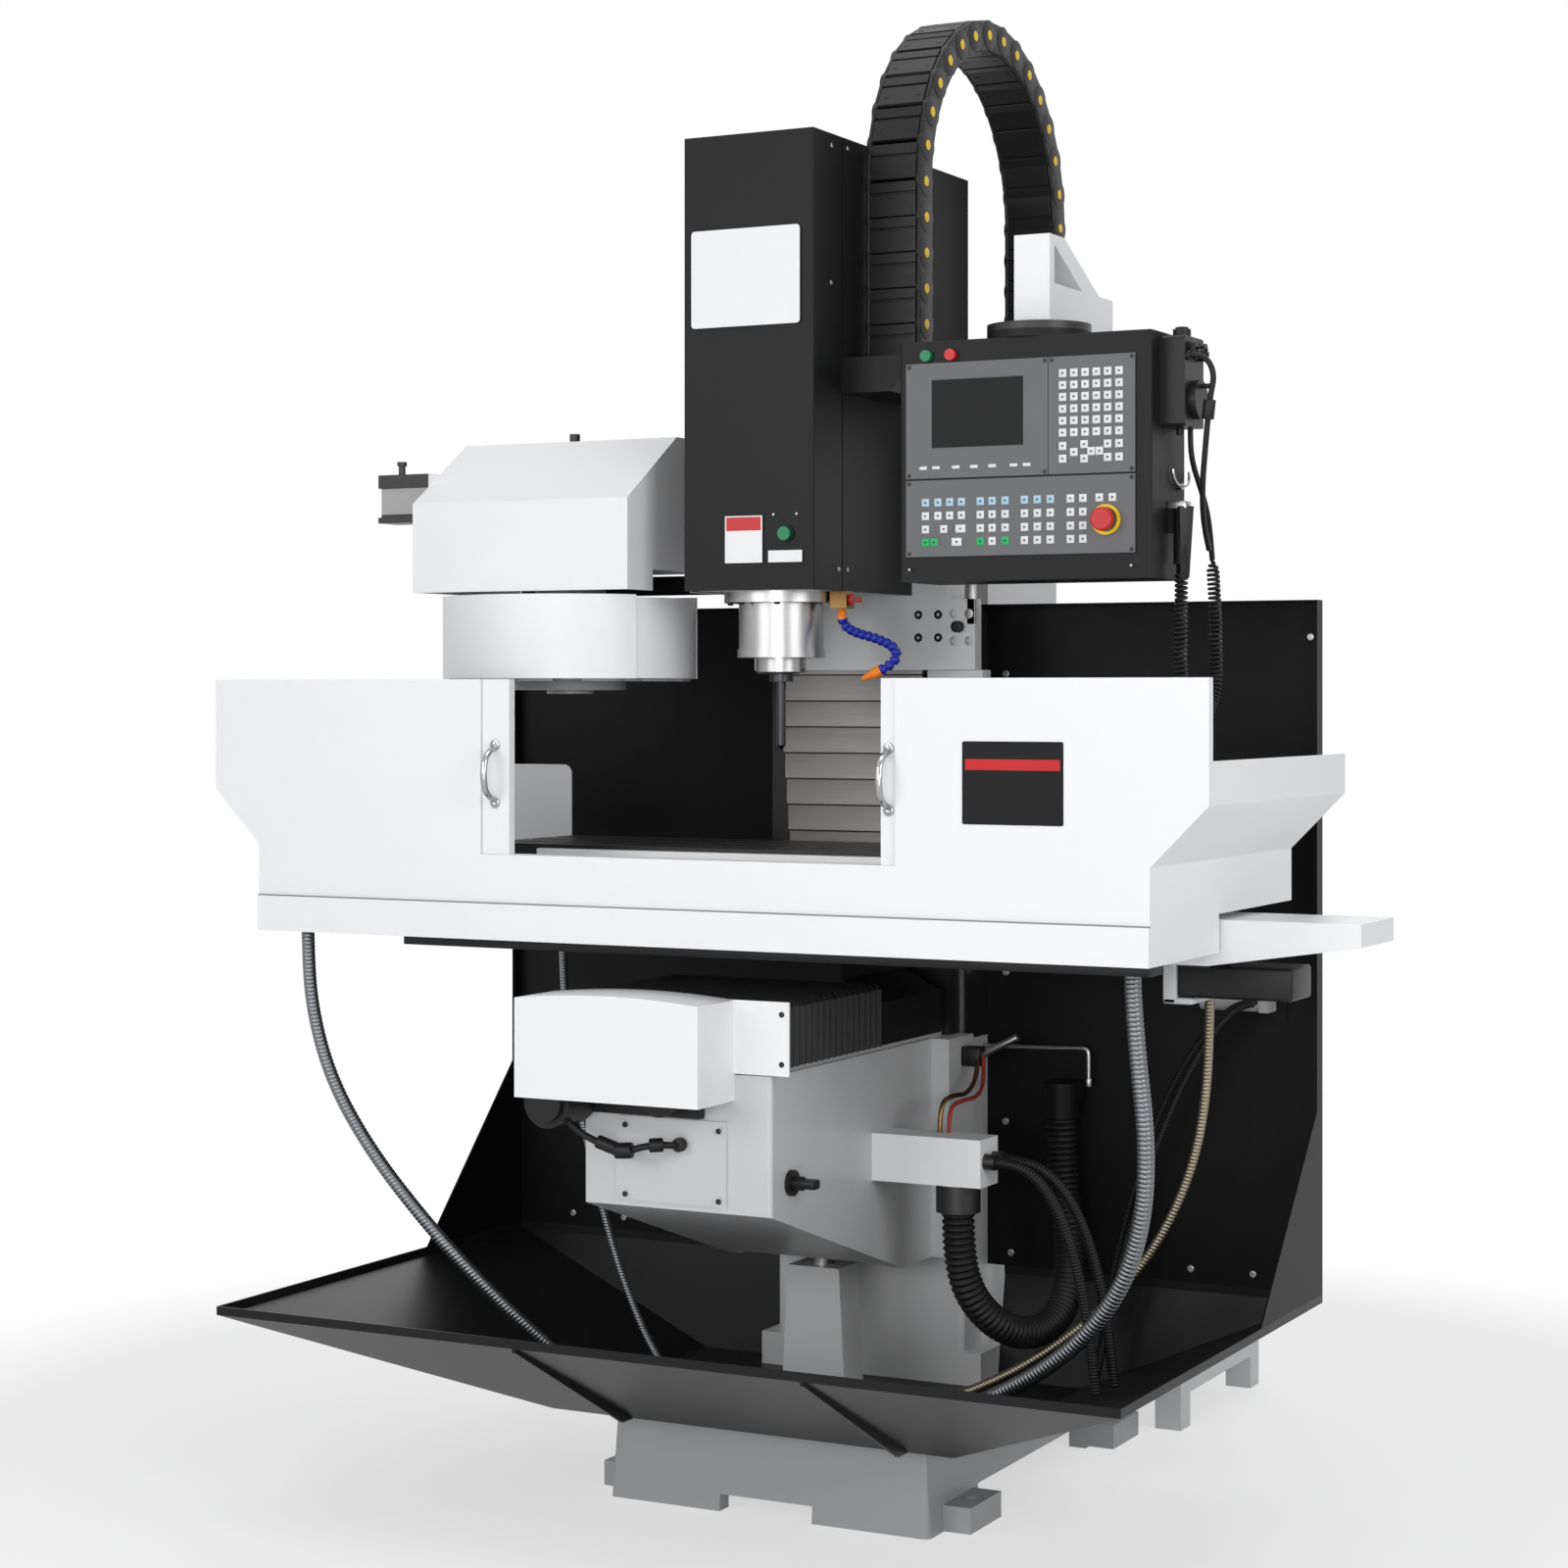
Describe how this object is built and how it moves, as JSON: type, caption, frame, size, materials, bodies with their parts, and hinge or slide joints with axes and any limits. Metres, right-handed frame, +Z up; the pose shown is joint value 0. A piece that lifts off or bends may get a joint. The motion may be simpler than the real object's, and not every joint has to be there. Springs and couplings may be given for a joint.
{
  "type": "cnc drilling and milling machine",
  "caption": "Knee-type drilling and milling machine with tool drum, sliding-door table enclosure, chip tray, drag chain and a hung control box with a hand pendant.",
  "frame": {"origin": "on the floor, centre of the anchor bolt rectangle of the base casting", "axes": "+X to the operator's right, +Y to the back, +Z up"},
  "size_m": [1.873, 1.755, 2.5],
  "materials": {
    "white_coat": "satin powder coat",
    "black_coat": "fine satin powder coat",
    "cast_grey": "satin paint on a casting",
    "base_grey": "satin paint on a casting",
    "tank_grey": "satin paint",
    "slat_grey": "brushed sheet",
    "panel_grey": "satin",
    "disc_grey": "turned",
    "bright_steel": "ground and turned",
    "dark_iron": "scraped, oiled",
    "handle_chrome": "polished",
    "valve_brass": "plated",
    "black_plastic": "moulded",
    "black_rubber": "matte",
    "signal_green": "gloss",
    "signal_red": "gloss",
    "hose_blue": "gloss",
    "metal_hose": "wound metal strip",
    "bronze_hose": "wound metal strip"
  },
  "bodies": {
    "frame": {"base_casting": "base_grey", "chip_tray": "black_coat", "splash_wall": "black_coat", "column": "cast_grey", "column_top_cover": "black_coat", "coolant_tank": "tank_grey", "magazine_arm": "cast_grey", "magazine_roof": "white_coat", "controller_arm": "white_coat", "z_way_cover": "slat_grey", "drag_chain": "black_plastic", "corrugated_hose": "black_rubber", "conduit_front": "black_rubber", "conduit_rear": "black_rubber", "drain_hose_left": "metal_hose", "drain_hose_right": "metal_hose", "coolant_line": "bronze_hose"},
    "z_drive": {"z_screw": "bright_steel"},
    "knee": {"knee_casting": "cast_grey", "knee_front_cover": "cast_grey", "junction_box": "white_coat", "y_motor_cover": "white_coat", "y_motor": "black_plastic", "y_way_cover": "black_coat"},
    "lift_drive": {"lift_screw": "bright_steel"},
    "crank": {"lift_crank": "dark_iron"},
    "y_drive": {"y_screw": "bright_steel"},
    "saddle": {"saddle_casting": "cast_grey"},
    "work_table": {"table": "dark_iron", "enclosure_front": "white_coat", "enclosure_left_wall": "white_coat", "enclosure_right_wall": "white_coat", "enclosure_floor": "white_coat", "x_end_cover": "white_coat"},
    "x_drive": {"x_screw": "bright_steel"},
    "left_door": {"door_left": "white_coat", "door_handle_left": "handle_chrome"},
    "right_door": {"door_right": "white_coat", "door_handle_right": "handle_chrome"},
    "head": {"head_casting": "cast_grey", "head_cover": "black_coat", "spindle_housing": "bright_steel", "coolant_valve": "valve_brass", "coolant_hose": "hose_blue"},
    "rotor": {"spindle": "bright_steel", "drill": "dark_iron"},
    "head_push": {"head_button": "signal_green"},
    "lever": {"valve_lever": "signal_red"},
    "carriage": {"magazine_carriage": "cast_grey", "drum_skirt": "white_coat"},
    "shutter": {"drum_shutter": "white_coat"},
    "disc": {"tool_disc": "disc_grey"},
    "control": {"controller_box": "black_coat", "control_panel": "panel_grey", "pendant": "black_plastic", "pendant_cord": "black_rubber"},
    "start_push": {"start_button": "signal_green"},
    "stop_push": {"stop_button": "signal_red"},
    "estop_push": {"estop_button": "signal_red"},
    "pendant_wheel": {"handwheel": "black_plastic"}
  },
  "joints": [
    {"name": "knee_lift", "type": "slide", "parent": "frame", "child": "knee", "axis": [0, 0, 1], "range_m": [-0.12, 0.03], "deforming": ["corrugated_hose", "conduit_front", "conduit_rear"]},
    {"name": "saddle_slide", "type": "slide", "parent": "knee", "child": "saddle", "axis": [0, -1, 0], "range_m": [-0.07, 0.13], "deforming": ["y_way_cover"]},
    {"name": "table_slide", "type": "slide", "parent": "saddle", "child": "work_table", "axis": [1, 0, 0], "range_m": [-0.25, 0.25], "deforming": ["drain_hose_left", "drain_hose_right", "coolant_line"]},
    {"name": "left_door_slide", "type": "slide", "parent": "work_table", "child": "left_door", "axis": [1, 0, 0], "range_m": [0, 0.325]},
    {"name": "right_door_slide", "type": "slide", "parent": "work_table", "child": "right_door", "axis": [-1, 0, 0], "range_m": [0, 0.325]},
    {"name": "head_slide", "type": "slide", "parent": "frame", "child": "head", "axis": [0, 0, 1], "range_m": [-0.15, 0.1], "deforming": ["z_way_cover", "drag_chain"]},
    {"name": "spindle_spin", "type": "hinge", "parent": "head", "child": "rotor", "pos_m": [0, -0.378, 1.39], "axis": [0, 0, 1], "continuous": true},
    {"name": "head_button_press", "type": "slide", "parent": "head", "child": "head_push", "axis": [0, 1, 0], "range_m": [0, 0.004], "stiffness_N_per_m": 400, "springref_m": -0.002},
    {"name": "valve_turn", "type": "hinge", "parent": "head", "child": "lever", "pos_m": [0.13, -0.378, 1.499], "axis": [1, 0, 0], "range_deg": [0, 90]},
    {"name": "magazine_slide", "type": "slide", "parent": "frame", "child": "carriage", "axis": [1, 0, 0], "range_m": [0, 0.214]},
    {"name": "shutter_turn", "type": "hinge", "parent": "carriage", "child": "shutter", "pos_m": [-0.406, -0.378, 1.45], "axis": [0, 0, 1], "range_deg": [0, 97]},
    {"name": "tool_disc_spin", "type": "hinge", "parent": "carriage", "child": "disc", "pos_m": [-0.406, -0.378, 1.37], "axis": [0, 0, 1], "continuous": true},
    {"name": "controller_swivel", "type": "hinge", "parent": "frame", "child": "control", "pos_m": [0.47, -0.403, 1.912], "axis": [0, 0, 1], "range_deg": [-30, 30]},
    {"name": "start_press", "type": "slide", "parent": "control", "child": "start_push", "axis": [0, 1, 0], "range_m": [0, 0.004], "stiffness_N_per_m": 400, "springref_m": -0.002},
    {"name": "stop_press", "type": "slide", "parent": "control", "child": "stop_push", "axis": [0, 1, 0], "range_m": [0, 0.004], "stiffness_N_per_m": 400, "springref_m": -0.002},
    {"name": "estop_press", "type": "slide", "parent": "control", "child": "estop_push", "axis": [0, 1, 0], "range_m": [0, 0.005], "stiffness_N_per_m": 400, "springref_m": -0.002},
    {"name": "handwheel_spin", "type": "hinge", "parent": "control", "child": "pendant_wheel", "pos_m": [0.731, -0.398, 1.797], "axis": [1, 0, 0], "continuous": true},
    {"name": "crank_turn", "type": "hinge", "parent": "knee", "child": "crank", "pos_m": [0.19, -0.668, 0.592], "axis": [1, 0, 0], "continuous": true},
    {"name": "lift_screw_turn", "type": "hinge", "parent": "knee", "child": "lift_drive", "pos_m": [0, -0.225, 0.5], "axis": [0, 0, 1], "continuous": true},
    {"name": "x_screw_turn", "type": "hinge", "parent": "work_table", "child": "x_drive", "pos_m": [0, -0.338, 0.999], "axis": [1, 0, 0], "continuous": true},
    {"name": "y_screw_turn", "type": "hinge", "parent": "knee", "child": "y_drive", "pos_m": [0, -0.4, 0.726], "axis": [0, 1, 0], "continuous": true},
    {"name": "z_screw_turn", "type": "hinge", "parent": "frame", "child": "z_drive", "pos_m": [0, -0.063, 1.4], "axis": [0, 0, 1], "continuous": true}
  ],
  "couplings": [
    {"joint": "shutter_turn", "follows": "magazine_slide", "rad_per_m": 7.9},
    {"joint": "crank_turn", "follows": "knee_lift", "rad_per_m": 1570.8},
    {"joint": "lift_screw_turn", "follows": "knee_lift", "rad_per_m": 628.3},
    {"joint": "x_screw_turn", "follows": "table_slide", "rad_per_m": 628.3},
    {"joint": "y_screw_turn", "follows": "saddle_slide", "rad_per_m": 628.3},
    {"joint": "z_screw_turn", "follows": "head_slide", "rad_per_m": 628.3}
  ]
}
